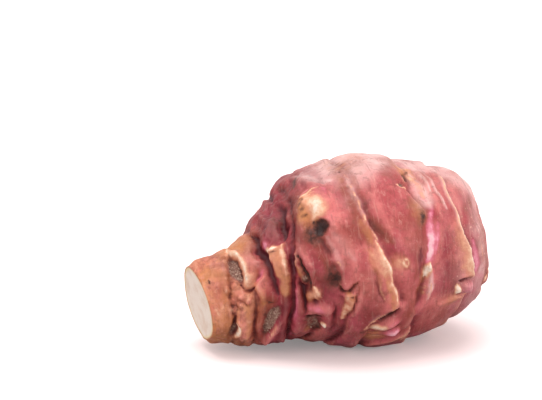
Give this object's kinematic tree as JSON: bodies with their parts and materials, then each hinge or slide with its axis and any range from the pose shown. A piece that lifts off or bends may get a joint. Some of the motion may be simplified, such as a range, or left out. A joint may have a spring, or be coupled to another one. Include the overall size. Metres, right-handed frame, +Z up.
{
  "type": "jerusalem artichoke",
  "caption": "Whole raw Jerusalem artichoke tuber lying on its side: fat ringed body with buds and leaf scars, and a narrow neck cut off square.",
  "frame": {"origin": "middle of the underside of the bounding box, on the surface that the tuber lies on", "axes": "+X along the tuber from the cut neck to the tip, +Z up, and the side with the fat shoulder bud and the most scars faces -Y"},
  "size_m": [0.086, 0.0571, 0.054],
  "materials": {
    "skin": "thin matt to satin tuber skin, dusty rose with tan scar edges, orange-tan neck and soil in the hollows; the cut neck is off-white flesh"
  },
  "bodies": {
    "root": {"tuber": "skin"}
  },
  "joints": []
}
